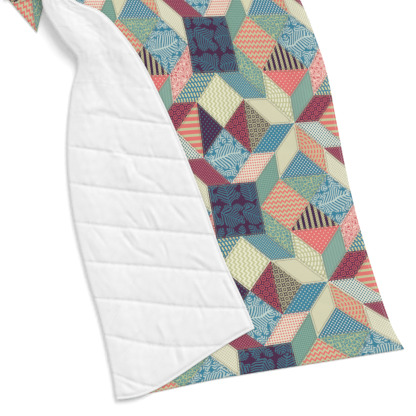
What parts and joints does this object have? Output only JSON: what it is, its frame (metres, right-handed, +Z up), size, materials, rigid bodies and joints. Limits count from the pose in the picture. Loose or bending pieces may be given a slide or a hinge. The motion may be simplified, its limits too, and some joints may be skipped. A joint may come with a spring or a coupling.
{
  "type": "quilt",
  "caption": "Quilted patchwork bed cover, laid flat with one side turned over to show its white quilted back and its top end tucked under.",
  "frame": {"origin": "on the surface that the quilt lies on, under the middle of its bounding box", "axes": "+X to the right across the quilt, +Y towards its tucked-under top end, +Z up from the surface"},
  "size_m": [1.5458, 1.7778, 0.0538],
  "materials": {
    "printed_cloth": "matt printed cotton",
    "white_cloth": "matt brushed white"
  },
  "bodies": {
    "root": {"printed_face": "printed_cloth", "white_backing": "white_cloth"}
  },
  "joints": []
}
